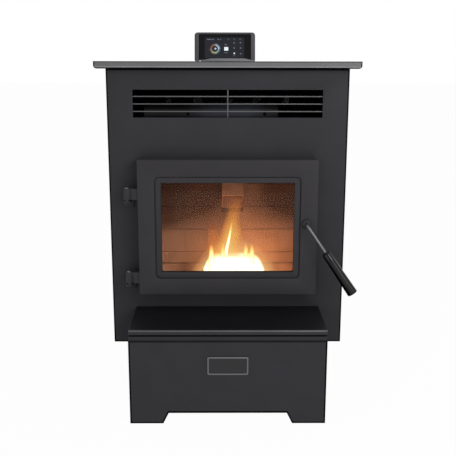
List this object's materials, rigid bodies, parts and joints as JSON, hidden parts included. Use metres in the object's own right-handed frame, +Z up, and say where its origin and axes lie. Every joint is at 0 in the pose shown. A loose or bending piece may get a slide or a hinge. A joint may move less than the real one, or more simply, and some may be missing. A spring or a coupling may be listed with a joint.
{
  "type": "pellet stove",
  "caption": "Free-standing pellet stove with a glazed fire door, turning latch handle, hearth shelf, warm-air grille, tilted display, hopper lid, feed auger and blowers.",
  "frame": {"origin": "centre of the bounding box's foot, on the floor", "axes": "+Z up, +Y from the door towards the flue, +X to the right seen from the front"},
  "size_m": [0.647, 0.711, 0.9417],
  "materials": {
    "black_paint": "satin",
    "cast_paint": "matte",
    "grey_paint": "satin",
    "dark_steel": "matte",
    "galvanised": "satin",
    "bright_steel": "polished",
    "aluminium": "satin",
    "firebrick": "matte",
    "rope": "matte",
    "gloss_black": "gloss",
    "black_plastic": "matte",
    "glass": "gloss"
  },
  "bodies": {
    "stove": {"pedestal": "black_paint", "hearth_shelf": "black_paint", "badge_frame": "bright_steel", "badge_field": "black_paint", "cabinet_floor": "black_paint", "front_panel": "black_paint", "left_side_panel": "black_paint", "right_side_panel": "black_paint", "rear_panel": "black_paint", "top_plate": "grey_paint", "air_grille": "grey_paint", "air_deflector": "galvanised", "deflector_screw_left": "dark_steel", "deflector_screw_right": "dark_steel", "firebox": "dark_steel", "feed_chute": "dark_steel", "firebox_stand": "dark_steel", "heat_exchanger": "dark_steel", "firebrick_rear": "firebrick", "firebrick_left": "firebrick", "firebrick_right": "firebrick", "burn_pot_stand": "dark_steel", "air_intake_pipe": "galvanised", "igniter": "bright_steel", "auger_tube": "dark_steel", "auger_motor": "dark_steel", "hopper": "galvanised", "hopper_lid_gasket": "rope", "lid_hinge_leaf": "dark_steel", "lid_hinge_pin": "bright_steel", "exhaust_housing": "dark_steel", "flue_outlet": "galvanised", "exhaust_motor": "dark_steel", "convection_housing": "galvanised", "convection_motor": "dark_steel", "control_box": "galvanised", "power_inlet": "black_plastic", "vacuum_switch": "black_plastic", "display_bracket": "grey_paint", "display_housing": "black_plastic", "display_screen": "gloss_black", "hinge_lug_upper": "black_paint", "hinge_pin_upper": "dark_steel", "hinge_lug_lower": "black_paint", "hinge_pin_lower": "dark_steel"},
    "door": {"door_frame": "cast_paint", "door_glass": "glass", "glass_gasket": "rope", "glass_retainer": "dark_steel", "door_gasket": "rope", "latch_bushing": "dark_steel"},
    "latch": {"latch_rod": "dark_steel", "latch_grip": "gloss_black"},
    "lid": {"hopper_lid": "black_paint", "hopper_lid_knob": "black_plastic"},
    "ash_pan": {"ash_pan": "dark_steel"},
    "burn_pot": {"burn_pot": "dark_steel"},
    "auger": {"auger_screw": "bright_steel"},
    "exhaust_wheel": {"exhaust_impeller": "aluminium"},
    "convection_fan": {"convection_wheel": "galvanised"}
  },
  "joints": [
    {"name": "door_hinge", "type": "hinge", "parent": "stove", "child": "door", "pos_m": [-0.2493, -0.2095, 0.4615], "axis": [0, 0, -1], "range_deg": [0, 115]},
    {"name": "latch_turn", "type": "hinge", "parent": "door", "child": "latch", "pos_m": [0.195, -0.2225, 0.474], "axis": [0, -1, 0], "range_deg": [0, 85]},
    {"name": "hopper_lid_hinge", "type": "hinge", "parent": "stove", "child": "lid", "pos_m": [0, 0.2863, 0.8718], "axis": [-1, 0, 0], "range_deg": [0, 85]},
    {"name": "ash_pan_lift", "type": "slide", "parent": "stove", "child": "ash_pan", "axis": [0, 0, 1], "range_m": [0, 0.06]},
    {"name": "burn_pot_lift", "type": "slide", "parent": "stove", "child": "burn_pot", "axis": [0, 0, 1], "range_m": [0, 0.06]},
    {"name": "auger_spin", "type": "hinge", "parent": "stove", "child": "auger", "pos_m": [0.015, 0.23457, 0.40593], "axis": [0, -0.7071, 0.7071], "continuous": true},
    {"name": "exhaust_wheel_spin", "type": "hinge", "parent": "stove", "child": "exhaust_wheel", "pos_m": [0.105, 0.1128, 0.3], "axis": [0, 1, 0], "continuous": true},
    {"name": "convection_fan_spin", "type": "hinge", "parent": "stove", "child": "convection_fan", "pos_m": [-0.155, 0.1395, 0.236], "axis": [-1, 0, 0], "continuous": true}
  ]
}
